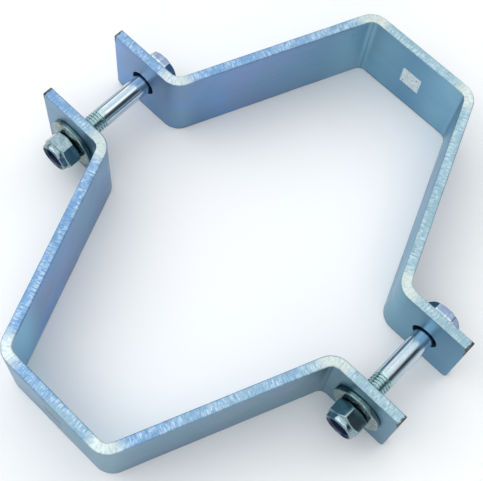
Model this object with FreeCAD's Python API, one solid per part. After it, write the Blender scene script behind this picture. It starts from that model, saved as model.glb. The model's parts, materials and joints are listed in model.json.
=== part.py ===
import FreeCAD, Part
import math
import os

# Two-half, six-sided clamp band for a round post: two bent flat-bar halves, drawn together by two hex bolts
# with conical spring washers and nylon-insert lock nuts. Millimetres.
#
# X runs along the flanges, Y from the nut side (front) to the bolt-head side (rear), Z across the bar's width.
# The band lies on its edges: Z = 0 is the lower edge of both halves. The origin is midway between the two bolts
# and midway between the two halves.

# --- driving dimensions --------------------------------------------------------------------------------------
BAR_WIDTH = 50.0
BAR_THICK = 6.0
BAND_LENGTH = 258.0         # end to end of the flanges, along X
FLANGE_GAP = 47.0           # between the flanges' facing faces, as the band is stored
HALF_DEPTH = 113.5          # from a flange's facing face to the crown's inner face
MOUTH_WIDTH = 163.0         # between the side walls' inner faces, at the flanges' facing faces
CROWN_WIDTH = 68.0          # between the side walls' inner faces, at the crown's inner face
BEND_RADIUS = 6.0           # on the hollow side of every bend
LOWER_CORNER_RADIUS = 3.0   # of the lower corners of the bar's sheared ends
UPPER_CORNER_RADIUS = 0.8   # of their upper corners, which are only deburred
EDGE_RADIUS = 0.6           # of the bar's rolled edges

BOLT_SPACING = 214.0
BOLT_HEIGHT = 25.0
HOLE_DIAMETER = 16.0

BOLT_DIAMETER = 11.9
BOLT_LENGTH = 75.0          # under the head
THREAD_LENGTH = 30.0        # of full thread, from the tip
THREAD_RUNOUT = 3.5         # over which the groove rises out of the shank
THREAD_PITCH = 1.75
THREAD_DEPTH = 1.05
THREAD_CREST = 0.22         # width of the flat on top of the thread
HEAD_HEIGHT = 7.5
NECK_RADIUS = 0.4           # by which the shank flares out under the head
HEX_FLATS = 19.0            # across flats, of bolt heads and nuts
HEX_FACE_DIAMETER = 18.05   # of the round face that the corner chamfer leaves
HEX_CHAMFER = math.radians(30.0)

WASHER_DIAMETER = 30.0
WASHER_HOLE = 13.0
WASHER_THICK = 2.8
WASHER_HEIGHT = 4.0         # overall, because the washer is a shallow cone
WASHER_BEVEL = 0.35         # of its edges

NUT_HEX_HEIGHT = 8.6        # the six-sided length of the nut
NUT_HEIGHT = 12.0           # with the round collar that holds the nylon ring
NUT_COLLAR_DIAMETER = 18.0
NUT_COLLAR_BEND = 1.4       # length over which the collar turns in to its lip
NUT_MOUTH_DIAMETER = 15.0   # of the collar's rolled-in lip
NUT_LIP = 0.8               # thickness of that lip, along the bolt
NUT_POCKET_DEPTH = 3.6      # from the nut's outer face to the floor of the nylon ring's seat
THREAD_PLAY = 0.14          # between bolt thread and nut thread, along the bolt and at crest and root
OVERCUT = 0.1               # by which a thread groove's section passes the surface it cuts
INSERT_DIAMETER = 16.0
INSERT_HOLE = 12.1
INSERT_BEVEL = 0.5

TOUCH = 1e-6                # two places closer than this are the same
OUT = "parts"

# --- worked out from the driving dimensions ------------------------------------------------------------------
BOLT_X = BOLT_SPACING / 2
FLANGE_Y = FLANGE_GAP / 2 + BAR_THICK        # outer face of a flange
SEAT_Y = FLANGE_Y + WASHER_HEIGHT            # where a head or a nut bears on its washer
TIP_Y = SEAT_Y - BOLT_LENGTH
THREAD_TURNS = round(THREAD_LENGTH / THREAD_PITCH) + 1     # with one before the tip
THREAD_END_Y = TIP_Y + (THREAD_TURNS - 1) * THREAD_PITCH
HEX_CORNER_R = HEX_FLATS / math.sqrt(3)
BOLT_R = BOLT_DIAMETER / 2
ROOT_R = BOLT_R - THREAD_DEPTH
THREAD_ROOT = THREAD_PITCH / 4               # width of the flat at the bottom of the groove
THREAD_FLANK = (THREAD_PITCH - THREAD_CREST - THREAD_ROOT) / 2 / THREAD_DEPTH
ALONG_Y = FreeCAD.Vector(0, 1, 0)
SIDES = {"left": -BOLT_X, "right": BOLT_X}
NUT_TURNS = {"left": 0.0, "right": 30.0}     # of each nut's hexagon about its bolt, in degrees


# --- shared shapes -------------------------------------------------------------------------------------------
def polygon(points):
    return Part.Face(Part.makePolygon([FreeCAD.Vector(*p) for p in points + points[:1]]))


def turned(profile):
    """A solid of revolution about the Y axis, from (radius, y) points."""
    return polygon([(r, y, 0) for r, y in profile]).revolve(FreeCAD.Vector(), ALONG_Y, 360)


def hexagon_bar(length):
    """A hexagon along +Y from y = 0, with flats facing up and down."""
    points = []
    for step in range(6):
        angle = math.radians(60 * step)
        points.append((HEX_CORNER_R * math.cos(angle), 0, HEX_CORNER_R * math.sin(angle)))
    return polygon(points).extrude(ALONG_Y * length)


def chamfered_hexagon(length, front, back):
    """A hexagon bar whose corners are turned off at 30 degrees at either end."""
    corner = HEX_CORNER_R + 1                # clear of the hexagon's corners
    face = HEX_FACE_DIAMETER / 2
    drop = (corner - face) * math.tan(HEX_CHAMFER)
    front_points = [(face, 0), (corner, drop)] if front else [(corner, 0)]
    back_points = [(corner, length - drop), (face, length)] if back else [(corner, length)]
    return hexagon_bar(length).common(turned([(0, 0)] + front_points + back_points + [(0, length)]))


def groove(inner, outer, start, length, rise=0.0):
    """The solid that a right-handed helical groove about Y takes away. Its section is a trapezium between an
    inner and an outer (radius, width). It moves outwards by rise over its length."""
    helix = Part.makeHelix(THREAD_PITCH, length, inner[0], math.degrees(math.atan2(rise, length)))
    corners = [(inner[0], -inner[1] / 2), (outer[0], -outer[1] / 2),
               (outer[0], outer[1] / 2), (inner[0], inner[1] / 2)]
    profile = Part.makePolygon([FreeCAD.Vector(x, 0, z) for x, z in corners + corners[:1]])
    shape = Part.Wire(helix).makePipeShell([profile], True, True)
    shape.rotate(FreeCAD.Vector(), FreeCAD.Vector(1, 0, 0), -90)
    shape.translate(ALONG_Y * start)
    return shape


def groove_width(radius):
    """Width of the bolt's thread groove at a radius."""
    return THREAD_ROOT + 2 * THREAD_FLANK * (radius - ROOT_R)


# --- the pieces ----------------------------------------------------------------------------------------------
def bent_bar():
    """The rear half: a flat bar bent into flange, side wall, crown, side wall and flange."""
    flange_y = FLANGE_GAP / 2
    crown_y = flange_y + HALF_DEPTH
    half = [(-BAND_LENGTH / 2, flange_y), (-MOUTH_WIDTH / 2, flange_y), (-CROWN_WIDTH / 2, crown_y)]
    inner = half + [(-x, y) for x, y in reversed(half)]
    return strip(inner, BAR_THICK).extrude(FreeCAD.Vector(0, 0, BAR_WIDTH))


def strip(path, thick):
    """A flat band of even thickness on the left of a path of (x, y) points, with round bends."""
    vectors = [FreeCAD.Vector(x, y, 0) for x, y in path]
    lines = [(b - a).normalize() for a, b in zip(vectors, vectors[1:])]
    left, right = [], []
    for index, point in enumerate(vectors):
        before = lines[max(index - 1, 0)]
        after = lines[min(index, len(lines) - 1)]
        turn = before.x * after.y - before.y * after.x
        normal = FreeCAD.Vector(-before.y - after.y, before.x + after.x, 0).normalize()
        reach = thick / (normal.x * -before.y + normal.y * before.x)
        right.append((point, BEND_RADIUS if turn < 0 else BEND_RADIUS + thick))
        left.append((point + normal * reach, BEND_RADIUS if turn > 0 else BEND_RADIUS + thick))
    edges = rounded(right) + [Part.LineSegment(right[-1][0], left[-1][0]).toShape()]
    edges += rounded(left) + [Part.LineSegment(left[0][0], right[0][0]).toShape()]
    return Part.Face(Part.Wire(Part.__sortEdges__(edges)))


def rounded(corners):
    """Straight edges through the corners, each inner corner replaced by a tangent arc of its own radius."""
    edges = []
    here = corners[0][0]
    for (a, _), (b, radius), (c, _) in zip(corners, corners[1:], corners[2:]):
        back = (a - b).normalize()
        ahead = (c - b).normalize()
        half = back.getAngle(ahead) / 2
        start = b + back * (radius / math.tan(half))
        end = b + ahead * (radius / math.tan(half))
        middle = b + (back + ahead).normalize() * (radius / math.sin(half) - radius)
        edges.append(Part.LineSegment(here, start).toShape())
        edges.append(Part.Arc(start, middle, end).toShape())
        here = end
    edges.append(Part.LineSegment(here, corners[-1][0]).toShape())
    return edges


def end_corners(bar, height):
    """The edges across the bar's thickness, at both its ends, that lie at one height."""
    corners = []
    for edge in bar.Edges:
        box = edge.BoundBox
        at_end = abs(abs(box.XMin) - BAND_LENGTH / 2) < TOUCH and box.XLength < TOUCH
        if at_end and abs(box.ZMin - height) < TOUCH and box.ZLength < TOUCH:
            corners.append(edge)
    return corners


def long_edges(bar):
    """The edges along the bar, at its lower and upper side, without those round its ends' corners."""
    edges = []
    for edge in bar.Edges:
        box = edge.BoundBox
        flat = box.ZLength < TOUCH and (box.ZMin < TOUCH or box.ZMin > BAR_WIDTH - TOUCH)
        beside_end = abs(box.XMin) > BAND_LENGTH / 2 - LOWER_CORNER_RADIUS + TOUCH
        if flat and not beside_end:
            edges.append(edge)
    return edges


def clamp_half():
    """The rear half with rounded end corners, rounded rolled edges and drilled flanges."""
    bar = bent_bar()
    bar = bar.makeFillet(LOWER_CORNER_RADIUS, end_corners(bar, 0))
    bar = bar.makeFillet(UPPER_CORNER_RADIUS, end_corners(bar, BAR_WIDTH))
    bar = bar.makeFillet(EDGE_RADIUS, long_edges(bar))
    for x in SIDES.values():
        start = FreeCAD.Vector(x, 0, BOLT_HEIGHT)
        bar = bar.cut(Part.makeCylinder(HOLE_DIAMETER / 2, FLANGE_Y + 1, start, ALONG_Y))
    return bar


def bolt():
    """A hex bolt about the Y axis: its head bears on SEAT_Y and its tip is at TIP_Y."""
    neck = BOLT_R + NECK_RADIUS
    in_head = SEAT_Y + NECK_RADIUS
    shank = turned([(0, TIP_Y), (ROOT_R, TIP_Y), (BOLT_R, TIP_Y + THREAD_DEPTH),
                    (BOLT_R, SEAT_Y - NECK_RADIUS), (neck, SEAT_Y), (neck, in_head), (0, in_head)])
    inner = (ROOT_R, THREAD_ROOT)
    outer = (BOLT_R + OVERCUT, groove_width(BOLT_R + OVERCUT))
    full = groove(inner, outer, TIP_Y - THREAD_PITCH, THREAD_TURNS * THREAD_PITCH)
    fading = groove(inner, outer, THREAD_END_Y, THREAD_RUNOUT, THREAD_DEPTH)
    head = chamfered_hexagon(HEAD_HEIGHT, False, True)
    head.translate(ALONG_Y * SEAT_Y)
    return shank.cut(full).cut(fading).fuse(head)


def washer():
    """A shallow cone of spring steel about the Y axis; its rim rests at y = 0 and its eye stands at -Y."""
    outer = WASHER_DIAMETER / 2
    hole = WASHER_HOLE / 2
    rise = WASHER_HEIGHT - WASHER_THICK
    rim = [(outer - WASHER_BEVEL, 0), (outer, -WASHER_BEVEL), (outer, WASHER_BEVEL - WASHER_THICK),
           (outer - WASHER_BEVEL, -WASHER_THICK)]
    eye = [(hole + WASHER_BEVEL, -WASHER_HEIGHT), (hole, WASHER_BEVEL - WASHER_HEIGHT), (hole, -rise)]
    return turned(rim + eye)


def nut(turn):
    """A lock nut about the Y axis, bearing on -SEAT_Y and reaching to -Y, with its thread and ring seat. Its
    hexagon is turned about the bolt; its thread stays in step with the bolt's."""
    collar = NUT_COLLAR_DIAMETER / 2
    mouth = NUT_MOUTH_DIAMETER / 2
    seat = INSERT_DIAMETER / 2
    minor = ROOT_R + THREAD_PLAY
    entry = BOLT_R + 2 * THREAD_PLAY
    floor = NUT_HEIGHT - NUT_POCKET_DEPTH
    lip = NUT_HEIGHT - NUT_LIP
    third = NUT_COLLAR_BEND / 3
    dome = turned([(0, 0), (collar, 0), (collar, NUT_HEIGHT - NUT_COLLAR_BEND),
                   (collar - third, NUT_HEIGHT - third), (mouth + third, NUT_HEIGHT), (0, NUT_HEIGHT)])
    bore = turned([(0, 0), (entry, 0), (minor, entry - minor), (minor, floor),
                   (seat, floor), (seat, lip), (mouth, lip), (mouth, NUT_HEIGHT), (0, NUT_HEIGHT)])
    body = chamfered_hexagon(NUT_HEX_HEIGHT, True, True).fuse(dome)
    body.rotate(FreeCAD.Vector(), ALONG_Y, turn)
    body = body.cut(bore)
    body.rotate(FreeCAD.Vector(), FreeCAD.Vector(1, 0, 0), 180)
    body.translate(ALONG_Y * -SEAT_Y)
    root_r = BOLT_R + THREAD_PLAY
    inner = (minor - OVERCUT, THREAD_PITCH - groove_width(minor - OVERCUT) + 2 * THREAD_PLAY)
    outer = (root_r, THREAD_PITCH - groove_width(root_r) + 2 * THREAD_PLAY)
    start = TIP_Y - 1.5 * THREAD_PITCH       # half a pitch off the bolt's own groove
    turns = math.ceil((-SEAT_Y - start) / THREAD_PITCH) + 1
    return body.cut(groove(inner, outer, start, turns * THREAD_PITCH))


def insert():
    """The nylon ring in the nut's collar."""
    floor = SEAT_Y + NUT_HEIGHT - NUT_POCKET_DEPTH
    lip = SEAT_Y + NUT_HEIGHT - NUT_LIP
    bore = INSERT_HOLE / 2
    return turned([(bore, -floor), (INSERT_DIAMETER / 2, -floor), (INSERT_DIAMETER / 2, -lip),
                   (bore + INSERT_BEVEL, -lip), (bore, INSERT_BEVEL - lip)])


def save(name, shape):
    shape.exportStep(os.path.join(OUT, name + ".step"))
    print(name, shape.isValid(), len(shape.Solids), round(shape.Volume, 1))


def main():
    os.makedirs(OUT, exist_ok=True)
    half = clamp_half()
    save("rear_half", half)
    save("front_half", half.rotated(FreeCAD.Vector(), FreeCAD.Vector(0, 0, 1), 180))
    head_washer = washer().rotated(FreeCAD.Vector(), FreeCAD.Vector(0, 0, 1), 180).translated(ALONG_Y * FLANGE_Y)
    nut_washer = washer().translated(ALONG_Y * -FLANGE_Y)
    hardware = {"bolt": bolt(), "head_washer": head_washer, "nut_washer": nut_washer, "nut_insert": insert()}
    for side, x in SIDES.items():
        hardware["nut"] = nut(NUT_TURNS[side])
        for name, shape in hardware.items():
            save(side + "_" + name, shape.translated(FreeCAD.Vector(x, 0, BOLT_HEIGHT)))


if __name__ == "__main__":
    main()
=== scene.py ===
import bisect
import json
import math
from functools import partial

import bpy
import bmesh
from mathutils import Matrix, Vector, noise


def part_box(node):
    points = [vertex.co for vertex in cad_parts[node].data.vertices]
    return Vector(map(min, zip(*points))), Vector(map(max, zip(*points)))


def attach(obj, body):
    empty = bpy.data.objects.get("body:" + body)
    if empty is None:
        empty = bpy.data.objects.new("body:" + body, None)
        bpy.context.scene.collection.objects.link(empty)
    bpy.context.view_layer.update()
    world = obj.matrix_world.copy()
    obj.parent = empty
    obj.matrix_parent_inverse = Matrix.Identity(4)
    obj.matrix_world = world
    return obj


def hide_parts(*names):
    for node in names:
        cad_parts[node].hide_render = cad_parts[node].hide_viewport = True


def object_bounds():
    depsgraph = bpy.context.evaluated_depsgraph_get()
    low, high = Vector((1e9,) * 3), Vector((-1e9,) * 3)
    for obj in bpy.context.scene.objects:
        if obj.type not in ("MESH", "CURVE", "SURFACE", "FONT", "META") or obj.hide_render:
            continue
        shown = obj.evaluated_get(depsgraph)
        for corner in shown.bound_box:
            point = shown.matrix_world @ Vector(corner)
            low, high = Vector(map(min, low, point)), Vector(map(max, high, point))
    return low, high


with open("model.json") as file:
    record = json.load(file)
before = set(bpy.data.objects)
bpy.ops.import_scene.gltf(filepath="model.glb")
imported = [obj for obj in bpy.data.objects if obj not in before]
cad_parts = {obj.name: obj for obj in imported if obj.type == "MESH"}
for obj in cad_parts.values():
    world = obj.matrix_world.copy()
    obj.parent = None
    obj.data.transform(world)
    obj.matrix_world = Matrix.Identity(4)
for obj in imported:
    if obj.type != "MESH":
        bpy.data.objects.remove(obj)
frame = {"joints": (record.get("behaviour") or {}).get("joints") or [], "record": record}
cad_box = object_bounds()

# The clamp band as it looks. Its bent bars, bolts, nuts, washers and nylon rings are finer meshes in place
# of the CAD nodes, and ride on the same bodies. Metres, in the CAD frame: X along the flanges, Z up the bar.

MM = 0.001
mounts = {mount["name"]: mount for mount in frame["record"]["mounts"]}
joints = {joint["name"]: joint for joint in frame["joints"]}

# --- sizes that the frame doesn't state -----------------------------------------------------------
BEND_RADIUS = 6.0 * MM          # on the hollow side of a bend
EDGE_RADIUS = 0.75 * MM         # of the bar's rolled edges
END_EDGE_RADIUS = 0.45 * MM     # round the bar's sheared ends
LOWER_CORNER_RADIUS = 3.0 * MM
UPPER_CORNER_RADIUS = 0.8 * MM
HOLE_RADIUS = 8.0 * MM
HOLE_FLARE = 0.4 * MM
SHORTEST_EDGE = 0.002 * MM      # left after drilling; shorter ones are collapsed
BEND_RISE = 0.4 * MM            # of the upper edge on the hollow side of a bend
BEND_DIP = 0.25 * MM            # on its other side
SWOLLEN_HEIGHT = 9.0 * MM       # of the bar's upper part, which the rise and the dip draw along
BEND_FADE = 4.0 * MM            # beyond a bend, over which the bar gets straight again
PALE_FADE = 6.5 * MM            # over which the bends' pale look fades out: stretched zinc, partly a painted highlight
BEND_ZONE_FADE = 36.0 * MM         # over which the colors round a bend fade out, painted light and painted shade among them
CREASE_DEPTH = 0.22 * MM
CREASE_WIDTH = 0.6 * MM
ROLLING_WAVE = 0.05 * MM
WAVES_PER_METRE = Vector((90, 200, 120))    # along the bar, through it and up it
STAMP_SIZE = 14.0 * MM
STAMP_DEPTH = 0.25 * MM
STAMP_RIM = 0.6 * MM            # over which the stamp's edge slopes down
STAMP_PITCH = 2.0 * MM
STAMP_RIDGE = 0.55              # share of the depth that the ridges between the stamp's grooves take away

# The angles, in degrees, from which an edge between two faces is shaded sharp.
SHARP_ANGLE = 38
BAR_SHARP_ANGLE = 42

# How finely a bar's mesh is divided.
BEND_STEP = 0.5 * MM            # between the sections in a bend and at the stamp
STRAIGHT_STEP = 3.5 * MM        # and elsewhere
LEAST_STEP = 0.02 * MM          # sections nearer than this to each other are left out
END_STEPS = 8                   # in each rounding of the ends
EDGE_STEPS = 5                  # in each rolled edge
TOP_STEPS = 6                   # between the rolled edges
FLARE_STEPS = 4                 # in a hole's mouth
STAMP_PATCH = STAMP_SIZE + 2 * MM
STAMP_ROWS = 30
FACE_ROWS = 12
UPPER_ROWS = 4                  # more rows, close under the upper edge
UPPER_STEP = 1.2 * MM

HEX_FLATS = 19.0 * MM
HEX_CORNER_WEAR = 0.12 * MM     # how much shorter the hexagon is at its corners
HEX_CORNER_SOFT = 0.25 * MM
HEX_FACE_RADIUS = 9.0 * MM      # of the round face that the corner chamfer leaves
HEX_SOFT = 0.1 * MM             # how softly a flat runs into the chamfer
CHAMFER_ANGLE = math.radians(30)
BOLT_RADIUS = 5.95 * MM
THREAD_PITCH = 1.75 * MM
THREAD_DEPTH = 1.05 * MM
THREAD_CREST = 0.125            # share of the pitch that is flat, at crest and at root
THREAD_LENGTH = 29.75 * MM
THREAD_RUNOUT = 3.5 * MM
THREAD_PLAY = 0.14 * MM
NUT_ENTRY_RADIUS = BOLT_RADIUS + 2 * THREAD_PLAY
NECK_RADIUS = 0.4 * MM          # where the shank meets the head
WASHER_HOLE_RADIUS = 6.5 * MM
WASHER_THICK = 2.8 * MM
WASHER_ROUND = 0.7 * MM
NUT_HEX_HEIGHT = 8.9 * MM
COLLAR_RADIUS = 8.94 * MM
COLLAR_BEND = 2.5 * MM
MOUTH_RADIUS = 7.5 * MM
LIP_THICK = 0.8 * MM
LIP_ROUND = 0.35 * MM
RING_RADIUS = 8.0 * MM
RING_HOLE_RADIUS = 6.05 * MM
RING_ROUND = 0.6 * MM
RING_DEPTH = 3.6 * MM           # from the nut's outer face to the floor of the ring's seat
NUT_TURNS = {"left": 0.0, "right": 30.0}    # of each nut's hexagon, in degrees

# Where the bolts and nuts have their rows of points.
BOLT_THREAD_ROWS = 12           # for each turn of the thread
NUT_THREAD_ROWS = 10
SHANK_ROWS = 6
NECK_STEPS = 4
COLLAR_STEPS = 8
LIP_STEPS = 5
TIP_SHARES = (0.35, 0.7, 0.93)  # of the tip's radius, on its face
BEARING_ROWS = ((7.4, 0), (8.6, 0), (8.85, 0), (8.95, 0.1), (8.98, 0.3))    # radius and height, in mm
HEAD_LOWER_ROWS = ((0.3, 0.3), (0.12, 0.35), (0.03, 0.45))      # inside the hexagon by, and height, in mm
HEAD_SIDE_SHARES = (0.08, 0.2, 0.4, 0.6)                        # of the head's height
HEAD_UPPER_ROWS = (2.0, 1.6, 1.3, 1.1, 0.9, 0.7, 0.5, 0.35, 0.22, 0.12, 0.05)   # mm below the face
HEAD_FACE_RADII = (8.85, 8.3, 6.0, 3.0)                         # mm
NUT_FACE_RADII = (7.2, 8.3, 8.85)                               # mm
NUT_LOWER_ROWS = (0.05, 0.12, 0.22, 0.35, 0.5, 0.7, 0.9, 1.1, 1.4)              # mm above the seat
NUT_SIDE_SHARES = (0.3, 0.5, 0.68)                              # of the hexagon's height
NUT_UPPER_ROWS = (1.6, 1.3, 1.1, 0.9, 0.7, 0.5, 0.35, 0.22, 0.1, 0.03)          # mm below the hexagon's end
COLLAR_ROWS = (0.05, 0.4)                                       # mm beyond the hexagon's end

# Angles round a bolt, in degrees, close together at each of the hexagon's corners.
SECTOR = (0, 1.0, 2.2, 4, 7, 12, 18, 24, 30, 36, 42, 48, 53, 56, 57.8, 59)
ROUND = [math.radians(60 * side + step) for side in range(6) for step in SECTOR]


# --- meshes ---------------------------------------------------------------------------------------
def solid(name, rows, looped):
    """A closed mesh through rows of points, each row a ring. The last row meets the first one if looped, and
    otherwise both are capped."""
    count = len(rows[0])
    verts = [point for row in rows for point in row]
    faces = []
    last = len(rows) if looped else len(rows) - 1
    for a in range(last):
        b = (a + 1) % len(rows)
        for i in range(count):
            j = (i + 1) % count
            faces.append((a * count + i, a * count + j, b * count + j, b * count + i))
    if not looped:
        for first in (0, (len(rows) - 1) * count):
            rim = range(first, first + count)
            verts.append(sum((verts[i] for i in rim), Vector()) / count)
            faces += [(i, first + (i - first + 1) % count, len(verts) - 1) for i in rim]
    mesh = bpy.data.meshes.new(name)
    mesh.from_pydata(verts, [], faces)
    turn_outward(mesh)
    return mesh


def turn_outward(mesh):
    """Makes every face look out of the solid."""
    shell = bmesh.new()
    shell.from_mesh(mesh)
    bmesh.ops.recalc_face_normals(shell, faces=shell.faces)
    if shell.calc_volume(signed=True) < 0:
        bmesh.ops.reverse_faces(shell, faces=shell.faces)
    shell.to_mesh(mesh)
    shell.free()


def piece(name, mesh, node, body, material, sharp=SHARP_ANGLE):
    """Puts a finished mesh in the scene in place of a CAD node."""
    mesh.shade_smooth()
    mesh.set_sharp_from_angle(angle=math.radians(sharp))
    mesh.materials.clear()
    mesh.materials.append(material)
    made = bpy.data.objects.new(name, mesh)
    bpy.context.scene.collection.objects.link(made)
    weighted = made.modifiers.new("face_weights", "WEIGHTED_NORMAL")
    weighted.keep_sharp = True
    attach(made, body)
    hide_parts(node)


def smooth_min(a, b, soft):
    """The lower of two values, blended where they are within soft of each other."""
    h = max(soft - abs(a - b), 0) / soft
    return min(a, b) - h * h * soft / 4


def ease(low, high, value):
    """0 below low, 1 above high, and a smooth rise between."""
    t = min(max((value - low) / (high - low), 0), 1)
    return t * t * (3 - 2 * t)


def quarter_turn(steps):
    """The angles of a quarter turn in equal steps, without its start."""
    return [math.radians(90 * step / steps) for step in range(1, steps + 1)]


# --- the bent bar ---------------------------------------------------------------------------------
class MiddleLine:
    """The bar's middle line seen from above: straight runs joined by round bends, with the outer side on the
    left. Each part is where it starts, its length, first point, heading, curve and the curve's centre."""

    def __init__(self, corners, radius):
        self.parts = []
        here = corners[0]
        along = 0.0
        for a, b, c in zip(corners, corners[1:], corners[2:]):
            before = (b - a).normalized()
            after = (c - b).normalized()
            angle = math.atan2(before.x * after.y - before.y * after.x, before.dot(after))
            start = b - before * radius * math.tan(abs(angle) / 2)
            along = self._run(here, start, along)
            side = math.copysign(1, angle)
            centre = start + Vector((-before.y, before.x)) * radius * side
            length = abs(angle) * radius
            heading = math.atan2(before.y, before.x)
            self.parts.append((along, length, start, heading, side / radius, centre))
            along += length
            here = b + after * radius * math.tan(abs(angle) / 2)
        self.length = self._run(here, corners[-1], along)
        self.starts = [part[0] for part in self.parts]
        self.bends = [(part[0] + part[1] / 2, part[1] / 2, part[4]) for part in self.parts if part[4]]

    def _run(self, here, end, along):
        direction = end - here
        heading = math.atan2(direction.y, direction.x)
        self.parts.append((along, direction.length, here, heading, 0.0, None))
        return along + direction.length

    def at(self, along):
        """The point and the left-hand normal at a distance along the line."""
        index = max(bisect.bisect_right(self.starts, along) - 1, 0)
        start, _, point, heading, curve, centre = self.parts[index]
        gone = along - start
        if not curve:
            return point + Vector((math.cos(heading), math.sin(heading))) * gone, self.left(heading)
        left = self.left(heading + gone * curve)
        return centre - left / curve, left

    @staticmethod
    def left(heading):
        return Vector((-math.sin(heading), math.cos(heading)))

    def place(self, x, y):
        """How far along and how far across the line a point near it lies: by the part whose length it misses
        least, or, if that is a tie, the part whose line is nearer."""
        best = None
        for start, length, point, heading, curve, centre in self.parts:
            if not curve:
                offset = Vector((x, y)) - point
                gone = offset.dot(Vector((math.cos(heading), math.sin(heading))))
                across = offset.dot(self.left(heading))
            else:
                offset = Vector((x, y)) - centre
                base = -self.left(heading) / curve
                turn = math.atan2(base.x * offset.y - base.y * offset.x, base.dot(offset))
                gone = turn / curve
                across = (1 / abs(curve) - offset.length) * math.copysign(1, curve)
            miss = max(-gone, gone - length, 0) + abs(across) * 0.01
            if best is None or miss < best[0]:
                best = (miss, start + gone, across)
        return best[1], best[2]

    def crease_at(self, along, across):
        """1 on the hollow side at the middle of a bend, and 0 away from there."""
        middles = [middle for middle, _, curve in self.bends if across * curve > 0]
        return max((math.exp(-((along - middle) / CREASE_WIDTH) ** 2) for middle in middles), default=0.0)

    def bend_at(self, along, fade):
        """+1 in a bend whose outer side is hollow, -1 in one whose inner side is, and 0 beyond the fade."""
        total = 0.0
        for middle, half, curve in self.bends:
            total += math.copysign(1 - ease(half, half + fade, abs(along - middle)), curve)
        return total


def meet(point_a, normal_a, point_b, normal_b):
    """Where two lines cross, each given by a point and its normal."""
    a, b = normal_a.dot(point_a), normal_b.dot(point_b)
    det = normal_a.x * normal_b.y - normal_a.y * normal_b.x
    return Vector((a * normal_b.y - b * normal_a.y, normal_a.x * b - normal_b.x * a)) / det


def flat(mount):
    """A point of an inner face and the normal that points out of the band, both seen from above."""
    return Vector(mount["pos_m"][:2]), -Vector(mount["axis"][:2]).normalized()


def rear_middle_line():
    """From the CAD faces that the mounts name, moved outward by half the bar's thickness."""
    low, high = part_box("rear_half")
    crown, outward = flat(mounts["rear_crown_inner"])
    thick = mounts["rear_crown_outer"]["pos_m"][1] - crown.y
    flange = Vector((0, low.y + thick / 2))
    walls = [flat(mounts["rear_left_side_inner"]), flat(mounts["rear_right_side_inner"])]
    walls = [(point + normal * thick / 2, normal) for point, normal in walls]
    crown = crown + outward * thick / 2
    left = [meet(flange, outward, *walls[0]), meet(crown, outward, *walls[0])]
    right = [meet(crown, outward, *walls[1]), meet(flange, outward, *walls[1])]
    corners = [Vector((low.x, flange.y))] + left + right + [Vector((high.x, flange.y))]
    return MiddleLine(corners, BEND_RADIUS + thick / 2), thick, high.z


def stations(line):
    """Distances along the bar at which it gets a section, closer at the ends, in bends and at the stamp."""
    found = {0.0}
    for radius in (LOWER_CORNER_RADIUS, UPPER_CORNER_RADIUS, END_EDGE_RADIUS):
        found |= {radius * (1 - math.cos(turn)) for turn in quarter_turn(END_STEPS)}
    found |= {line.length - along for along in found}
    for start, length, _, _, curve, _ in line.parts:
        steps = math.ceil(length / (BEND_STEP if curve else STRAIGHT_STEP))
        found |= {start + length * step / steps for step in range(steps + 1)}
    steps = math.ceil(STAMP_PATCH / BEND_STEP)
    found |= {line.length / 2 + (step / steps - 0.5) * STAMP_PATCH for step in range(steps + 1)}
    ordered = []
    for along in sorted(found):
        if not ordered or along - ordered[-1] > LEAST_STEP:
            ordered.append(along)
    return ordered


def section_heights(width):
    """Heights of the rows on the bar's faces, closer at the stamp and under the upper edge."""
    heights = {EDGE_RADIUS, width - EDGE_RADIUS}
    heights |= {width * step / FACE_ROWS for step in range(1, FACE_ROWS)}
    heights |= {width / 2 + (step / STAMP_ROWS - 0.5) * STAMP_PATCH for step in range(STAMP_ROWS + 1)}
    heights |= {width - EDGE_RADIUS - step * UPPER_STEP for step in range(1, UPPER_ROWS + 1)}
    return sorted(heights)


def section(half, low, high, width, heights):
    """A rounded rectangle of (across, height) points: up the outer side, and back down the inner one."""
    scale = (high - low - 2 * EDGE_RADIUS) / (width - 2 * EDGE_RADIUS)
    outer = [(half, low + EDGE_RADIUS + (z - EDGE_RADIUS) * scale) for z in heights]
    corner = []
    for turn in quarter_turn(EDGE_STEPS)[:-1]:
        corner.append((EDGE_RADIUS * (math.cos(turn) - 1), EDGE_RADIUS * (math.sin(turn) - 1)))
    flat_top = [(half - EDGE_RADIUS) * (1 - 2 * step / TOP_STEPS) for step in range(TOP_STEPS + 1)]
    top = [(half + dc, high + dz) for dc, dz in corner] + [(c, high) for c in flat_top]
    top += [(-half - dc, high + dz) for dc, dz in reversed(corner)]
    inner = [(-c, z) for c, z in reversed(outer)]
    bottom = [(-c, low + high - z) for c, z in top]
    return outer + top + inner + bottom


def rounding(radius, gone):
    """How far a rounded corner has drawn in at a distance from the end."""
    if gone >= radius:
        return 0.0
    return radius - math.sqrt(radius * radius - (radius - gone) ** 2)


def stamped(along, height, line, width):
    """Depth of the blank hatched stamp in the middle of the crown."""
    from_middle = along - line.length / 2
    off = max(abs(from_middle), abs(height - width / 2))
    inside = 1 - ease(STAMP_SIZE / 2 - STAMP_RIM, STAMP_SIZE / 2, off)
    if not inside:
        return 0.0
    diagonal = (from_middle + height) / STAMP_PITCH
    from_groove = abs((diagonal % 1) - 0.5) * 2
    return inside * STAMP_DEPTH * (1 - STAMP_RIDGE * ease(0.45, 0.95, from_groove))


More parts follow.
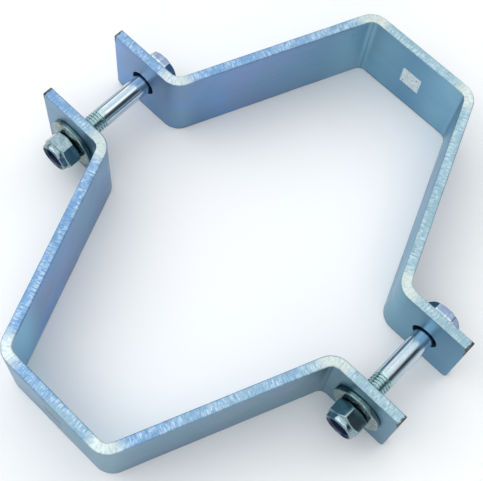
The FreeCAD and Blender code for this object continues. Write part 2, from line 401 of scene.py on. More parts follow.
def bar_mesh(name, line, thick, width, stamp_side, seed):
    """One half of the band, undrilled. The stamp is on its outer side (1) or its inner side (-1), and the
    seed moves the rolling waves."""
    heights = section_heights(width)
    rows = []
    for along in stations(line):
        end = min(along, line.length - along)
        half = thick / 2 - rounding(END_EDGE_RADIUS, end)
        low = rounding(LOWER_CORNER_RADIUS, end)
        high = width - rounding(UPPER_CORNER_RADIUS, end)
        point, left = line.at(along)
        bend = line.bend_at(along, BEND_FADE)
        row = []
        for across, height in section(half, low, high, width, heights):
            hollow = bend * across / (thick / 2)
            near_top = ease(width - SWOLLEN_HEIGHT, width, height)
            rise = BEND_RISE * max(hollow, 0) - BEND_DIP * max(-hollow, 0)
            wave_place = Vector((along, across, height)) * WAVES_PER_METRE + Vector((0, seed, 0))
            wave = ROLLING_WAVE * noise.noise(wave_place)
            outward = wave * math.copysign(ease(0, EDGE_RADIUS, abs(across)), across)
            crease = CREASE_DEPTH * line.crease_at(along, across) * ease(0, thick / 2, abs(across))
            outward -= math.copysign(crease, across)
            if across * stamp_side > thick / 2 - EDGE_RADIUS:
                outward -= stamp_side * stamped(along, height, line, width)
            place = point + left * (across + outward)
            row.append(Vector((place.x, place.y, height + (rise + wave) * near_top)))
        rows.append(row)
    return solid(name, rows, False)


def drill(mesh, thick):
    """Returns the mesh with the two bolt holes cut in it, their mouths slightly rounded."""
    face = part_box("rear_half")[0].y
    bar = bpy.data.objects.new("bar", mesh)
    bpy.context.scene.collection.objects.link(bar)
    cutters = []
    for side in ("left", "right"):
        axis = Vector(joints[side + "_bolt_spin"]["pos_m"])
        profile = [(HOLE_RADIUS + HOLE_FLARE, face - 1 * MM), (HOLE_RADIUS + HOLE_FLARE, face)]
        for turn in quarter_turn(FLARE_STEPS):
            radius = HOLE_RADIUS + HOLE_FLARE * (1 - math.sin(turn))
            profile.append((radius, face + HOLE_FLARE * (1 - math.cos(turn))))
        profile += [(r, 2 * face + thick - y) for r, y in reversed(profile)]
        rows = [ring(axis, y, r) for r, y in profile]
        cutter = bpy.data.objects.new("cutter", solid("cutter", rows, False))
        bpy.context.scene.collection.objects.link(cutter)
        cut = bar.modifiers.new(side, "BOOLEAN")
        cut.operation = "DIFFERENCE"
        cut.solver = "EXACT"
        cut.object = cutter
        cutters.append(cutter)
    bpy.context.view_layer.update()
    evaluated = bar.evaluated_get(bpy.context.evaluated_depsgraph_get())
    drilled = bpy.data.meshes.new_from_object(evaluated)
    drilled.name = mesh.name
    shell = bmesh.new()
    shell.from_mesh(drilled)
    bmesh.ops.dissolve_degenerate(shell, dist=SHORTEST_EDGE, edges=shell.edges)
    shell.to_mesh(drilled)
    shell.free()
    for thing in [bar] + cutters:
        bpy.data.objects.remove(thing)
    return drilled


def mark_bar(mesh, line, thick, width, stamp_side):
    """Stores for the material where each point lies on the bar (along it, across it and up), how near it is
    to a bend, a crease and an end, and how deep in the stamp."""
    marks = {"bar": [], "bend": [], "worked": [], "crease": [], "end": [], "stamp": []}
    for vertex in mesh.vertices:
        along, across = line.place(vertex.co.x, vertex.co.y)
        on_face = across * stamp_side > thick / 2 - EDGE_RADIUS
        marks["bar"] += [along, across, vertex.co.z]
        marks["bend"].append(abs(line.bend_at(along, PALE_FADE)))
        marks["worked"].append(line.bend_at(along, BEND_ZONE_FADE))
        marks["crease"].append(line.crease_at(along, across))
        marks["end"].append(min(along, line.length - along))
        marks["stamp"].append(stamped(along, vertex.co.z, line, width) / STAMP_DEPTH if on_face else 0.0)
    for name, values in marks.items():
        kind, field = ("FLOAT_VECTOR", "vector") if name == "bar" else ("FLOAT", "value")
        mesh.attributes.new(name, kind, "POINT").data.foreach_set(field, values)


def make_bars(material):
    """The front half is the rear half turned round, with the stamp on its other side."""
    line, thick, width = rear_middle_line()
    for body, stamp_side, turn, seed in (("rear_half", -1, 0, 0), ("front_half", 1, math.pi, 9)):
        mesh = bar_mesh(body, line, thick, width, stamp_side, seed)
        mesh = drill(mesh, thick)
        mark_bar(mesh, line, thick, width, stamp_side)
        mesh.transform(Matrix.Rotation(turn, 4, "Z"))
        piece(body + "_bar", mesh, body, body, material, BAR_SHARP_ANGLE)


# --- bolts, nuts and washers ----------------------------------------------------------------------
def hexagon(angle, turn=0.0, inset=0.0):
    """Distance from the axis to a hexagon with corners at 0, 60, 120 degrees and so on, less its turn."""
    off = math.degrees(angle + turn) % 60 - 30
    sharp = HEX_FLATS / 2 / math.cos(math.radians(off))
    return smooth_min(sharp, HEX_FLATS / math.sqrt(3) - HEX_CORNER_WEAR, HEX_CORNER_SOFT) - inset


def chamfered(angle, below, turn=0.0):
    """The hexagon's radius at a distance below its chamfered face."""
    cone = HEX_FACE_RADIUS + below / math.tan(CHAMFER_ANGLE)
    return smooth_min(hexagon(angle, turn), cone, HEX_SOFT)


def thread_height(angle, from_tip, play=0.0):
    """Share of the full thread depth, 0 at the root and 1 at the crest, right-handed about +Y."""
    phase = (from_tip / THREAD_PITCH - angle / (2 * math.pi) + 0.5) % 1
    from_crest = min(phase, 1 - phase)
    flank = 0.5 - THREAD_CREST
    return 1 - ease(THREAD_CREST / 2 + play, THREAD_CREST / 2 + play + flank, from_crest)


def bolt_thread(angle, from_tip):
    """The bolt's radius in its thread and run-out, with the cone at its tip."""
    fade = 1 - ease(THREAD_LENGTH, THREAD_LENGTH + THREAD_RUNOUT, from_tip)
    depth = THREAD_DEPTH * (1 - thread_height(angle, from_tip)) * fade
    return min(BOLT_RADIUS - depth, BOLT_RADIUS - THREAD_DEPTH + from_tip)


def nut_thread(angle, from_tip, mouth):
    """The radius of the nut's bore in its thread, opened by a cone near its mouths."""
    least = BOLT_RADIUS - THREAD_DEPTH + THREAD_PLAY
    opened = least + max(NUT_ENTRY_RADIUS - least - mouth, 0)
    height = thread_height(angle, from_tip, THREAD_PLAY / THREAD_PITCH)
    return max(least + THREAD_DEPTH * height, opened)


def ring(centre, y, radius):
    """A row of points round a bolt's axis; radius is a number or a function of the angle."""
    points = []
    for angle in ROUND:
        r = radius(angle) if callable(radius) else radius
        points.append(Vector((centre.x + r * math.cos(angle), y, centre.z - r * math.sin(angle))))
    return points


def corner_rounded(points, radius, steps=4):
    """A closed (radius, y) outline with each corner replaced by an arc, of under half of either side."""
    done = []
    for index, point in enumerate(points):
        here = Vector(point)
        back = Vector(points[index - 1]) - here
        ahead = Vector(points[(index + 1) % len(points)]) - here
        reach = min(radius, back.length * 0.45, ahead.length * 0.45)
        start = here + back.normalized() * reach
        end = here + ahead.normalized() * reach
        for step in range(steps + 1):
            t = step / steps
            done.append(start * (1 - t) ** 2 + here * 2 * t * (1 - t) + end * t * t)
    return done


def make_bolt(side, material):
    """Rows from the bolt's tip to its head's outer face."""
    node = side + "_bolt"
    seat = Vector(joints[node + "_spin"]["pos_m"])
    low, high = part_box(node)
    tip, top = low.y, high.y
    height = top - seat.y
    rows = [ring(seat, tip, (BOLT_RADIUS - THREAD_DEPTH) * share) for share in TIP_SHARES]
    count = round((THREAD_LENGTH + THREAD_RUNOUT) / THREAD_PITCH * BOLT_THREAD_ROWS)
    for index in range(count + 1):
        gone = index * THREAD_PITCH / BOLT_THREAD_ROWS
        rows.append(ring(seat, tip + gone, partial(bolt_thread, from_tip=gone)))

    start = rows[-1][0].y
    neck = seat.y - NECK_RADIUS
    for step in range(1, SHANK_ROWS + 1):
        rows.append(ring(seat, start + (neck - start) * step / SHANK_ROWS, BOLT_RADIUS))
    for turn in quarter_turn(NECK_STEPS):
        radius = BOLT_RADIUS + NECK_RADIUS * (1 - math.cos(turn))
        rows.append(ring(seat, neck + NECK_RADIUS * math.sin(turn), radius))

    rows += [ring(seat, seat.y + rise * MM, radius * MM) for radius, rise in BEARING_ROWS]
    for inset, rise in HEAD_LOWER_ROWS:
        rows.append(ring(seat, seat.y + rise * MM, partial(hexagon, inset=inset * MM)))
    rows += [ring(seat, seat.y + height * share, hexagon) for share in HEAD_SIDE_SHARES]
    for below in HEAD_UPPER_ROWS:
        rows.append(ring(seat, top - below * MM, partial(chamfered, below=below * MM)))
    rows += [ring(seat, top, radius * MM) for radius in HEAD_FACE_RADII]
    piece(node + "_mesh", solid(node, rows, False), node, node, material)


def make_washer(side, where, body, material):
    """A conical spring washer, its rim against a flange."""
    node = side + "_" + where + "_washer"
    low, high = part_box(node)
    centre = (low + high) / 2
    outer = (high.z - low.z) / 2
    rim_y, eye_y = (high.y, low.y) if where == "nut" else (low.y, high.y)
    away = math.copysign(1, eye_y - rim_y)
    height = abs(eye_y - rim_y)
    rise = height - WASHER_THICK
    outline = [(WASHER_HOLE_RADIUS, rise), (outer, 0)]
    outline += [(outer, WASHER_THICK), (WASHER_HOLE_RADIUS, height)]
    profile = corner_rounded(outline, WASHER_ROUND)
    rows = [ring(centre, rim_y + away * y, r) for r, y in profile]
    piece(node + "_mesh", solid(node, rows, True), node, body, material)


def nut_outside(height, turn):
    """Depths from the seat, and radii, of the rows over the nut's seat, flats, collar and lip."""
    rows = [(0, NUT_ENTRY_RADIUS)] + [(0, radius * MM) for radius in NUT_FACE_RADII]
    for below in NUT_LOWER_ROWS:
        rows.append((below * MM, partial(chamfered, below=below * MM, turn=turn)))
    rows += [(NUT_HEX_HEIGHT * share, partial(hexagon, turn=turn)) for share in NUT_SIDE_SHARES]
    for below in NUT_UPPER_ROWS:
        rows.append((NUT_HEX_HEIGHT - below * MM, partial(chamfered, below=below * MM, turn=turn)))
    straight = height - COLLAR_BEND
    rows += [(NUT_HEX_HEIGHT + beyond * MM, COLLAR_RADIUS) for beyond in COLLAR_ROWS]
    rows.append((straight, COLLAR_RADIUS))
    crest = MOUTH_RADIUS + LIP_ROUND
    for roll in quarter_turn(COLLAR_STEPS):
        radius = crest + (COLLAR_RADIUS - crest) * math.cos(roll)
        rows.append((straight + COLLAR_BEND * math.sin(roll), radius))
    for roll in quarter_turn(LIP_STEPS):
        rows.append((height - LIP_ROUND * (1 - math.cos(roll)), crest - LIP_ROUND * math.sin(roll)))
    return rows


def nut_inside(height, seat_from_tip):
    """Depths and radii of the rows under the lip, in the ring's seat and down the thread."""
    floor = height - RING_DEPTH
    rows = [(height - LIP_THICK, MOUTH_RADIUS), (height - LIP_THICK, RING_RADIUS), (floor, RING_RADIUS)]
    count = math.ceil(floor / THREAD_PITCH * NUT_THREAD_ROWS)
    for index in range(count):
        depth = floor * (1 - index / count)
        mouth = min(depth, floor - depth)
        rows.append((depth, partial(nut_thread, from_tip=seat_from_tip - depth, mouth=mouth)))
    return rows


def make_nut(side, material):
    node = side + "_nut"
    seat = Vector(joints[node + "_spin"]["pos_m"])
    height = seat.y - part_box(node)[0].y
    seat_from_tip = seat.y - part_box(side + "_bolt")[0].y
    profile = nut_outside(height, math.radians(NUT_TURNS[side])) + nut_inside(height, seat_from_tip)
    rows = [ring(seat, seat.y - depth, radius) for depth, radius in profile]
    piece(node + "_mesh", solid(node, rows, True), node, node, material)


def make_nylon_ring(side, material):
    node = side + "_nut_insert"
    low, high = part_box(node)
    centre = (low + high) / 2
    outline = [(RING_HOLE_RADIUS, high.y), (RING_RADIUS, high.y)]
    outline += [(RING_RADIUS, low.y), (RING_HOLE_RADIUS, low.y)]
    profile = corner_rounded(outline, RING_ROUND)
    rows = [ring(centre, y, r) for r, y in profile]
    piece(node + "_mesh", solid(node, rows, True), node, side + "_nut", material)


# --- materials ------------------------------------------------------------------------------------
class Nodes:
    """A short way to write a material's node tree."""

    def __init__(self, name, metallic=0.0):
        self.material = bpy.data.materials.new(name)
        self.material.use_nodes = True
        self.tree = self.material.node_tree
        self.shader = self.tree.nodes["Principled BSDF"]
        self.shader.inputs["Metallic"].default_value = metallic

    def add(self, kind, inputs=None, **settings):
        node = self.tree.nodes.new("ShaderNode" + kind)
        for key, value in settings.items():
            setattr(node, key, value)
        for key, value in (inputs or {}).items():
            self.put(value, node.inputs[key])
        return node

    def put(self, value, socket):
        if isinstance(value, bpy.types.NodeSocket):
            self.tree.links.new(value, socket)
        else:
            socket.default_value = value

    def attribute(self, name, output="Fac"):
        return self.add("Attribute", attribute_name=name).outputs[output]

    def here(self):
        return self.add("TexCoord").outputs["Object"]

    def scaled(self, vector, scale):
        return self.add("Mapping", {"Vector": vector, "Scale": scale}).outputs["Vector"]

    def noise(self, vector, scale, detail, rough, distort=0.0):
        """Noise with about as many patches to the metre, in each direction, as the scale says."""
        inputs = {"Scale": 1.0, "Detail": detail, "Roughness": rough, "Distortion": distort}
        inputs["Vector"] = self.scaled(vector, scale)
        return self.add("TexNoise", inputs).outputs["Fac"]

    def math(self, operation, a, b=0.0):
        return self.add("Math", {0: a, 1: b}, operation=operation).outputs[0]

    def times(self, a, b):
        return self.math("MULTIPLY", a, b)

    def plus(self, a, b):
        return self.math("ADD", a, b)

    def rise(self, value, low, high, start=0.0, end=1.0):
        """A smooth rise from start to end while value goes from low to high."""
        inputs = {"Value": value, "From Min": low, "From Max": high, "To Min": start, "To Max": end}
        return self.add("MapRange", inputs, interpolation_type="SMOOTHSTEP").outputs["Result"]

    def mix(self, share, a, b):
        """The color a where the share is 0, and b where it is 1."""
        node = self.add("Mix", data_type="RGBA")
        for value, index in ((share, 0), (a, 6), (b, 7)):
            self.put(value, node.inputs[index])
        return node.outputs[2]

    def bump(self, height, distance, strength, before=None):
        inputs = {"Height": height, "Distance": distance, "Strength": strength}
        if before is not None:
            inputs["Normal"] = before
        return self.add("Bump", inputs).outputs["Normal"]

    def finish(self, color, roughness, normal):
        self.put(color, self.shader.inputs["Base Color"])
        self.put(roughness, self.shader.inputs["Roughness"])
        self.put(normal, self.shader.inputs["Normal"])
        return self.material


def rgb(red, green, blue):
    """A color in linear light."""
    return (red, green, blue, 1.0)


# Where the looks of the bars' zinc change.
EDGE_BAND = (0.9 * MM, 0.1 * MM)        # below the upper edge and above the lower one
MIDDLE_BAND = (0.6 * MM, 3.0 * MM)      # from the middle of an edge
END_REACH = (0.3 * MM, 1.6 * MM)        # of the sheared ends' look, low on the bar and at its top
# The painted shade along the lower edge: gone at the first height and full at the second.
LOWER_EDGE_SHADE_HEIGHTS = (1.5 * MM, 0.4 * MM)
SIDE_BORDER = 20.0 * MM                 # each way, between the left and the right flanges' colors
HALVES_BORDER = 1.0 * MM                # each way, between the front half's looks and the rear one's
SURFACE_BORDER = 0.5 * MM               # each way, between the inner face's look and the outer one's

# Colors of the bars' zinc, among them painted shade and painted light.
LEFT_FACE = rgb(0.205, 0.310, 0.535)
RIGHT_FACE = rgb(0.150, 0.335, 0.495)
BLUEST_FACE = rgb(0.165, 0.340, 0.640)
CLOUDED_FACE = rgb(0.210, 0.395, 0.510)
ROLLED_FACE = rgb(0.280, 0.420, 0.540)
OUTER_FACE = rgb(0.150, 0.278, 0.330)
# Painted light: the front crown's inner faces paler, standing in for a brighter reflection.
FRONT_CROWN_PAINTED_LIGHT = rgb(0.300, 0.640, 0.820)
REAR_CROWN = rgb(0.275, 0.500, 0.635)
# Painted shade by the left flange, and painted light by the right one.
LEFT_FLANGE_PAINTED_SHADE = rgb(0.160, 0.278, 0.450)
RIGHT_FLANGE_PAINTED_LIGHT = rgb(0.175, 0.360, 0.440)
# Painted shade: the dark line along the hollow of each bend.
CREASE_SHADE = rgb(0.060, 0.130, 0.200)
BENT_FACE = rgb(0.280, 0.430, 0.480)
LEFT_EDGE = rgb(0.140, 0.285, 0.500)
RIGHT_EDGE = rgb(0.270, 0.410, 0.470)
DARK_STROKES = rgb(0.120, 0.240, 0.400)
LIGHT_STROKES = rgb(0.580, 0.715, 0.800)
HAIRLINES = rgb(0.620, 0.750, 0.820)
EDGE_FLECKS = rgb(0.800, 0.870, 0.850)
# Pale stretched zinc in the bends, partly a painted highlight.
BENT_EDGE_AND_HIGHLIGHT = rgb(0.670, 0.720, 0.645)
FRONT_STAMP_RIDGES = rgb(0.640, 0.740, 0.780)
# Painted shade in the front stamp's hatched grooves.
FRONT_STAMP_GROOVE_SHADE = rgb(0.030, 0.065, 0.100)
REAR_STAMP = rgb(0.980, 1.000, 0.950)
REAR_STAMP_FLECKS = rgb(0.100, 0.130, 0.120)
SHEARED_END = rgb(0.170, 0.190, 0.215)
BURNT_END = rgb(0.050, 0.042, 0.035)
TORN_END = rgb(0.250, 0.260, 0.270)
# Painted shade along the bar's lower edge.
LOWER_EDGE_SHADE = rgb(0.080, 0.070, 0.060)
NICKS = rgb(0.120, 0.140, 0.150)


class BarZinc(Nodes):
    """Bright zinc with a blue passivation: mottled faces, fine grain across the rolled edges, pale bends
    (stretched zinc, partly a painted highlight) and dull sheared ends. Its patterns lie along the bar,
    across it and up it."""

    def __init__(self, name, width):
        super().__init__(name, metallic=1.0)
        self.width = width
        self.bar = self.attribute("bar", "Vector")
        on_bar = self.add("SeparateXYZ", {0: self.bar}).outputs
        self.across = on_bar[1]
        self.height = on_bar[2]
        self.bend = self.attribute("bend")
        in_place = self.add("SeparateXYZ", {0: self.here()}).outputs
        self.at_rear = self.rise(in_place[1], -HALVES_BORDER, HALVES_BORDER)
        self.sideways = self.plus(self.times(in_place[0], 0.85), self.times(in_place[1], 0.45))

        self.clouds = self.noise(self.bar, (26, 60, 34), 4.0, 0.6, 0.6)
        self.drift = self.noise(self.bar, (9, 20, 14), 2.0, 0.5, 0.3)
        self.strokes = self.noise(self.bar, (950, 240, 60), 4.0, 0.65, 0.4)
        self.hair = self.noise(self.bar, (2300, 320, 60), 2.0, 0.6)
        self.patches = self.noise(self.bar, (60, 170, 60), 3.0, 0.6, 0.5)
        self.flecks = self.noise(self.bar, (420, 420, 330), 4.0, 0.65, 0.8)
        self.batch = self.plus(self.rise(self.sideways, -0.10, 0.10, -0.13, 0.13), self.drift)
        self.on_edge = self.edges()
        self.on_end = self.ends()

    def edges(self):
        """1 on the rolled upper and lower edges, and 0 on the faces."""
        from_middle = self.math("ABSOLUTE", self.math("SUBTRACT", self.height, self.width / 2))
        return self.rise(from_middle, self.width / 2 - EDGE_BAND[0], self.width / 2 - EDGE_BAND[1])

    def ends(self):
        """1 on the sheared ends, with a ragged border that reaches further round near the top."""
        reach = self.rise(self.height, self.width * 0.80, self.width * 0.98, *END_REACH)
        ragged = self.rise(self.noise(self.bar, (60, 320, 200), 3.0, 0.6), 0.35, 0.60, 0.5, 1.2)
        share = self.math("DIVIDE", self.attribute("end"), self.times(reach, ragged))
        return self.rise(share, 1.1, 0.75)

    def face_color(self):
        """Bluer to the left, paler by the crowns (painted light at the front one), painted shade by the left
        flange, painted light by the right one, darker outside, and painted shade in creases.
        """
        color = self.mix(self.rise(self.batch, 0.42, 0.66), LEFT_FACE, RIGHT_FACE)
        color = self.mix(self.rise(self.batch, 0.44, 0.30), color, BLUEST_FACE)
        color = self.mix(self.rise(self.clouds, 0.45, 0.72, 0.0, 0.55), color, CLOUDED_FACE)
        rolling = self.noise(self.bar, (10, 400, 420), 3.0, 0.6)
        color = self.mix(self.rise(rolling, 0.3, 0.7, 0.0, 0.18), color, ROLLED_FACE)

        inner = self.rise(self.across, SURFACE_BORDER, -SURFACE_BORDER)
        mottled = self.rise(self.clouds, 0.30, 0.65, 0.6, 1.0)
        worked = self.attribute("worked")
        # Paler inner faces by the crowns; at the front crown this is painted light.
        at_crown = self.times(self.rise(worked, -0.05, -1.0), mottled)
        crown = self.mix(self.at_rear, FRONT_CROWN_PAINTED_LIGHT, REAR_CROWN)
        color = self.mix(self.times(at_crown, self.times(inner, 0.85)), color, crown)
        # By the flanges, painted shade on the left and painted light on the right.
        at_flange = self.times(self.rise(worked, 0.05, 1.0), mottled)
        flange = self.mix(self.rise(self.sideways, -SIDE_BORDER, SIDE_BORDER), LEFT_FLANGE_PAINTED_SHADE, RIGHT_FLANGE_PAINTED_LIGHT)
        color = self.mix(self.times(at_flange, 0.70), color, flange)
        outer = self.math("SUBTRACT", 1.0, inner)
        color = self.mix(self.times(outer, 0.5), color, OUTER_FACE)
        # Painted shade along the creases in the hollows of the bends.
        return self.mix(self.times(self.attribute("crease"), 0.55), color, CREASE_SHADE)

    def edge_color(self):
        """Light and dark strokes across the edge, strongest along its middle, and pale in the bends, partly
        a painted highlight.
        """
        color = self.mix(self.rise(self.batch, 0.42, 0.62), LEFT_EDGE, RIGHT_EDGE)
        color = self.mix(self.rise(self.strokes, 0.52, 0.32, 0.0, 0.45), color, DARK_STROKES)
        off_middle = self.rise(self.math("ABSOLUTE", self.across), *MIDDLE_BAND, 0.0, 0.6)
        strength = self.times(self.math("SUBTRACT", 1.0, off_middle), 0.75)
        light = self.times(self.rise(self.strokes, 0.42, 0.66), self.rise(self.patches, 0.36, 0.62))
        color = self.mix(self.times(light, strength), color, LIGHT_STROKES)
        color = self.mix(self.rise(self.hair, 0.46, 0.72, 0.0, 0.30), color, HAIRLINES)
        specks = self.rise(self.patches, 0.42, 0.65, 0.0, 0.55)
        color = self.mix(self.times(self.rise(self.flecks, 0.56, 0.70), specks), color, EDGE_FLECKS)
        # Pale in the bends: the stretched zinc's crackle, and partly a painted highlight.
        pale = self.times(self.bend, self.rise(self.strokes, 0.30, 0.55, 0.35, 0.75))
        pale = self.times(pale, self.rise(self.drift, 0.35, 0.60, 0.65, 1.0))
        return self.mix(pale, color, BENT_EDGE_AND_HIGHLIGHT)

    def stamped(self, color):
        """The color with both stamps: the front one hatched, with painted shade in its grooves, and the rear
        one bright.
        """
        stamp = self.attribute("stamp")
        front = self.mix(self.rise(stamp, 0.60, 0.85), FRONT_STAMP_RIDGES, FRONT_STAMP_GROOVE_SHADE)
        rear = self.mix(self.rise(self.flecks, 0.60, 0.68, 0.0, 0.8), REAR_STAMP, REAR_STAMP_FLECKS)
        worn = self.rise(self.flecks, 0.4, 0.6, 0.7, 1.0)
        return self.mix(self.times(stamp, worn), color, self.mix(self.at_rear, front, rear))

    def end_color(self):
        burnt = self.rise(self.height, self.width * 0.70, self.width * 0.92)
        color = self.mix(burnt, SHEARED_END, BURNT_END)
        torn = self.noise(self.bar, (260, 260, 420), 4.0, 0.6)
        return self.mix(self.rise(torn, 0.40, 0.70, 0.0, 0.6), color, TORN_END)

    def color(self):
        color = self.mix(self.on_edge, self.face_color(), self.edge_color())
        bent = self.times(self.bend, self.rise(self.clouds, 0.4, 0.7, 0.0, 0.25))
        color = self.stamped(self.mix(bent, color, BENT_FACE))
        color = self.mix(self.times(self.on_end, 0.92), color, self.end_color())
        # Painted shade: a dark, patchy line along the lower edge.
        low = self.rise(self.height, *LOWER_EDGE_SHADE_HEIGHTS)
        color = self.mix(self.times(low, self.rise(self.patches, 0.35, 0.60, 0.25, 0.80)), color, LOWER_EDGE_SHADE)
        nicks = self.noise(self.bar, (130, 260, 200), 3.0, 0.6)
        return self.mix(self.rise(nicks, 0.735, 0.765, 0.0, 0.7), color, NICKS)

    def roughness(self):
        rough = self.rise(self.clouds, 0.3, 0.7, 0.33, 0.44)
        flecked = self.rise(self.flecks, 0.4, 0.65, -0.02, 0.14)
        rough = self.plus(rough, self.times(self.on_edge, flecked))
        return self.plus(rough, self.times(self.on_end, 0.12))

    def normal(self):
        """Fine texture all over, grain across the edges, and crackle on the edges and in the bends."""
        fine = self.noise(self.bar, (700, 700, 700), 4.0, 0.6)
        normal = self.bump(fine, 0.02 * MM, 0.35)
        grain = self.times(self.plus(self.strokes, self.hair), self.on_edge)
        normal = self.bump(grain, 0.16 * MM, 0.6, normal)
        crackle = self.times(self.flecks, self.plus(self.on_edge, self.times(self.bend, 0.4)))
        return self.bump(crackle, 0.14 * MM, 0.6, normal)


def bar_material():
    low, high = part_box("rear_half")
    zinc = BarZinc("bar_zinc", high.z - low.z)
    return zinc.finish(zinc.color(), zinc.roughness(), zinc.normal())


FINE_MARKS = rgb(0.88, 0.91, 0.92)  # on bolts, nuts and washers

# Zones of the bolts: the two values of Y between which each comes in, and its color.
# Painted shade: the bolts' heads darker, to dim their bright reflection.
HEAD_SHADE_ZONE = (36.4 * MM, 37.2 * MM, rgb(0.15, 0.22, 0.36))
THREAD_ZONE = (-5.0 * MM, -8.0 * MM, rgb(0.38, 0.54, 0.53))


def smooth_zinc(name, tint, dull, roughness, marks, wear=0.2, dents=0.3, zones=()):
    """Bright zinc on smooth steel, with fine marks in one direction, and another color in each zone; on the
    bolts' heads that color is painted shade.
    """
    n = Nodes(name, metallic=1.0)
    here = n.here()
    blotches = n.noise(here, (260, 260, 260), 4.0, 0.65, 0.8)
    lines = n.noise(here, marks, 3.0, 0.6)
    color = n.mix(n.rise(blotches, 0.35, 0.7), tint, dull)
    color = n.mix(n.rise(lines, 0.45, 0.68, 0.0, wear), color, FINE_MARKS)
    y = n.add("SeparateXYZ", {0: here}).outputs[1]
    # Each zone's color comes in patchily; on the heads it is painted shade.
    for start, full, zone_color in zones:
        patchy = n.rise(blotches, 0.25, 0.65, 0.95, 0.65)
        color = n.mix(n.times(n.rise(y, start, full), patchy), color, zone_color)
    rough = n.rise(blotches, 0.3, 0.75, roughness, roughness + 0.1)
    normal = n.bump(lines, 0.02 * MM, 0.3)
    normal = n.bump(n.noise(here, (90, 90, 90), 2.0, 0.5), 0.08 * MM, dents, normal)
    return n.finish(color, rough, normal)


def nylon_material():
    n = Nodes("nylon")
    here = n.here()
    cloud = n.noise(here, (500, 500, 500), 3.0, 0.5)
    color = n.mix(n.rise(cloud, 0.3, 0.7), rgb(0.003, 0.005, 0.035), rgb(0.008, 0.013, 0.090))
    rough = n.rise(cloud, 0.3, 0.7, 0.28, 0.42)
    return n.finish(color, rough, n.bump(cloud, 0.05 * MM, 0.4))


# --- studio ---------------------------------------------------------------------------------------
FLOOR_SIZE = 8.0
FLOOR_SHADES = (rgb(0.90, 0.905, 0.91), rgb(0.92, 0.922, 0.925))
CAMERA_LENS = 80.47
CAMERA_AZIMUTH = math.radians(35.331)
CAMERA_ELEVATION = math.radians(67.615)
CAMERA_ROLL = math.radians(9.341)
CAMERA_DISTANCE = 0.6142
CAMERA_AIM = Vector((-0.0053, 0.00226, 0.0))
CAMERA_NEAR = 0.01
HORIZON_FADE = (0.10, 0.24)     # rises over which the pale horizon gives way to the ceiling's shades
HORIZON_SHADE = rgb(0.56, 0.57, 0.58)
WORLD_STRENGTH = 1.42
CEILING = Vector((-0.36, 0.10, 0.93)).normalized()      # towards the middle of the bright ceiling

# The world's shades, from a right angle to that direction, or beyond (0), to the direction itself (1).
CEILING_SHADES = (
    (0.00, rgb(0.30, 0.33, 0.37)),
    (0.06, rgb(0.10, 0.12, 0.14)),
    (0.25, rgb(0.04, 0.05, 0.05)),
    (0.55, rgb(0.06, 0.07, 0.07)),
    (0.70, rgb(0.60, 0.63, 0.66)),
    (0.82, rgb(1.00, 1.00, 1.00)),
    (1.00, rgb(1.00, 1.00, 1.00)),
)

# Each soft box's name, place, size, power and color.
SOFT_BOXES = (
    ("key", (1.5, -1.9, 2.6), (3.2, 3.2), 34, (1.0, 1.0, 1.0)),
    ("fill", (-1.9, -1.6, 2.4), (3.2, 3.2), 31, (0.95, 0.98, 1.0)),
    ("back", (0.7, 3.2, 2.2), (3.0, 2.2), 26, (1.0, 1.0, 1.0)),
)


def make_camera():
    """The view of the photograph, from the azimuth, elevation and roll of the fitted camera."""
    forward = Vector((-math.sin(CAMERA_AZIMUTH) * math.cos(CAMERA_ELEVATION),
                      math.cos(CAMERA_AZIMUTH) * math.cos(CAMERA_ELEVATION), -math.sin(CAMERA_ELEVATION)))
    level = Vector((math.cos(CAMERA_AZIMUTH), math.sin(CAMERA_AZIMUTH), 0))
    upright = level.cross(forward)
    right = level * math.cos(CAMERA_ROLL) + upright * math.sin(CAMERA_ROLL)
    up = upright * math.cos(CAMERA_ROLL) - level * math.sin(CAMERA_ROLL)
    data = bpy.data.cameras.new("camera")
    data.lens = CAMERA_LENS
    data.clip_start = CAMERA_NEAR
    camera = bpy.data.objects.new("camera", data)
    bpy.context.scene.collection.objects.link(camera)
    turned = Matrix((right, up, -forward)).transposed().to_4x4()
    camera.matrix_world = Matrix.Translation(CAMERA_AIM - forward * CAMERA_DISTANCE) @ turned
    bpy.context.scene.camera = camera


def make_floor():
    half = FLOOR_SIZE / 2
    mesh = bpy.data.meshes.new("floor")
    corners = [(-half, -half, 0), (half, -half, 0), (half, half, 0), (-half, half, 0)]
    mesh.from_pydata(corners, [], [(0, 1, 2, 3)])
    n = Nodes("floor_paper")
    n.shader.inputs["Specular IOR Level"].default_value = 0.1
    cloud = n.noise(n.here(), (3, 3, 3), 2.0, 0.5)
    color = n.mix(n.rise(cloud, 0.3, 0.7), *FLOOR_SHADES)
    n.finish(color, 0.9, n.bump(cloud, 0.1 * MM, 0.1))
    mesh.materials.append(n.material)
    floor = bpy.data.objects.new("floor", mesh)
    bpy.context.scene.collection.objects.link(floor)
    floor.location.z = cad_box[0].z


def panel(name, place, size, power, color):
    """A soft box that faces the origin."""
    data = bpy.data.lights.new(name, "AREA")
    data.shape = "RECTANGLE"
    data.size = size[0]
    data.size_y = size[1]
    data.energy = power
    data.color = color
    light = bpy.data.objects.new(name, data)
    bpy.context.scene.collection.objects.link(light)
    light.location = place
    light.rotation_euler = (-Vector(place)).to_track_quat("-Z", "Y").to_euler()


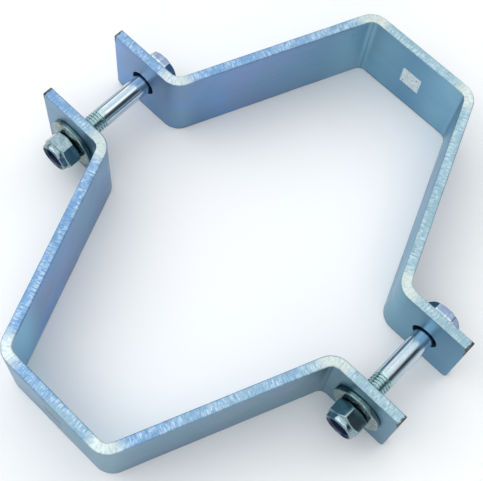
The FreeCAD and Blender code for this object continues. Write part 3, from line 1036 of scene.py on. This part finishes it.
def make_light():
    """A world with a bright ceiling, darker sides and a pale horizon, and three soft boxes."""
    world = bpy.data.worlds.new("studio")
    world.use_nodes = True
    tree = world.node_tree
    tree.nodes.clear()
    coords = tree.nodes.new("ShaderNodeTexCoord")
    leaning = tree.nodes.new("ShaderNodeVectorMath")
    leaning.operation = "DOT_PRODUCT"
    leaning.inputs[1].default_value = CEILING
    parts = tree.nodes.new("ShaderNodeSeparateXYZ")
    lift = tree.nodes.new("ShaderNodeMapRange")
    horizon = tree.nodes.new("ShaderNodeMix")
    ramp = tree.nodes.new("ShaderNodeValToRGB")
    background = tree.nodes.new("ShaderNodeBackground")
    output = tree.nodes.new("ShaderNodeOutputWorld")
    tree.links.new(coords.outputs["Generated"], leaning.inputs[0])
    tree.links.new(leaning.outputs["Value"], ramp.inputs[0])
    tree.links.new(coords.outputs["Generated"], parts.inputs[0])
    tree.links.new(parts.outputs[2], lift.inputs["Value"])
    lift.inputs["From Min"].default_value = HORIZON_FADE[0]
    lift.inputs["From Max"].default_value = HORIZON_FADE[1]
    horizon.data_type = "RGBA"
    horizon.inputs[6].default_value = HORIZON_SHADE
    tree.links.new(lift.outputs["Result"], horizon.inputs[0])
    tree.links.new(ramp.outputs[0], horizon.inputs[7])
    tree.links.new(horizon.outputs[2], background.inputs[0])
    tree.links.new(background.outputs[0], output.inputs[0])
    stops = ramp.color_ramp.elements
    for stop, (place, color) in zip(stops, (CEILING_SHADES[0], CEILING_SHADES[-1])):
        stop.position = place
        stop.color = color
    for place, color in CEILING_SHADES[1:-1]:
        stops.new(place).color = color
    background.inputs["Strength"].default_value = WORLD_STRENGTH
    bpy.context.scene.world = world
    for settings in SOFT_BOXES:
        panel(*settings)
    bpy.context.scene.view_settings.view_transform = "Standard"


# --- the scene ------------------------------------------------------------------------------------
make_bars(bar_material())
bolt_zinc = smooth_zinc("bolt_zinc", rgb(0.40, 0.51, 0.59), rgb(0.35, 0.46, 0.54), roughness=0.11,
                        marks=(520, 7, 520), wear=0.75, dents=0.12, zones=(HEAD_SHADE_ZONE, THREAD_ZONE))
nut_zinc = smooth_zinc("nut_zinc", rgb(0.26, 0.37, 0.41), rgb(0.18, 0.27, 0.31), roughness=0.12,
                       marks=(400, 900, 400), wear=0.12)
washer_zinc = smooth_zinc("washer_zinc", rgb(0.19, 0.26, 0.24), rgb(0.13, 0.20, 0.21), roughness=0.2,
                          marks=(300, 900, 300))
nylon = nylon_material()
for bolt_side in ("left", "right"):
    make_bolt(bolt_side, bolt_zinc)
    make_washer(bolt_side, "head", bolt_side + "_bolt", washer_zinc)
    make_washer(bolt_side, "nut", bolt_side + "_nut_washer", washer_zinc)
    make_nut(bolt_side, nut_zinc)
    make_nylon_ring(bolt_side, nylon)
make_floor()
make_light()
make_camera()
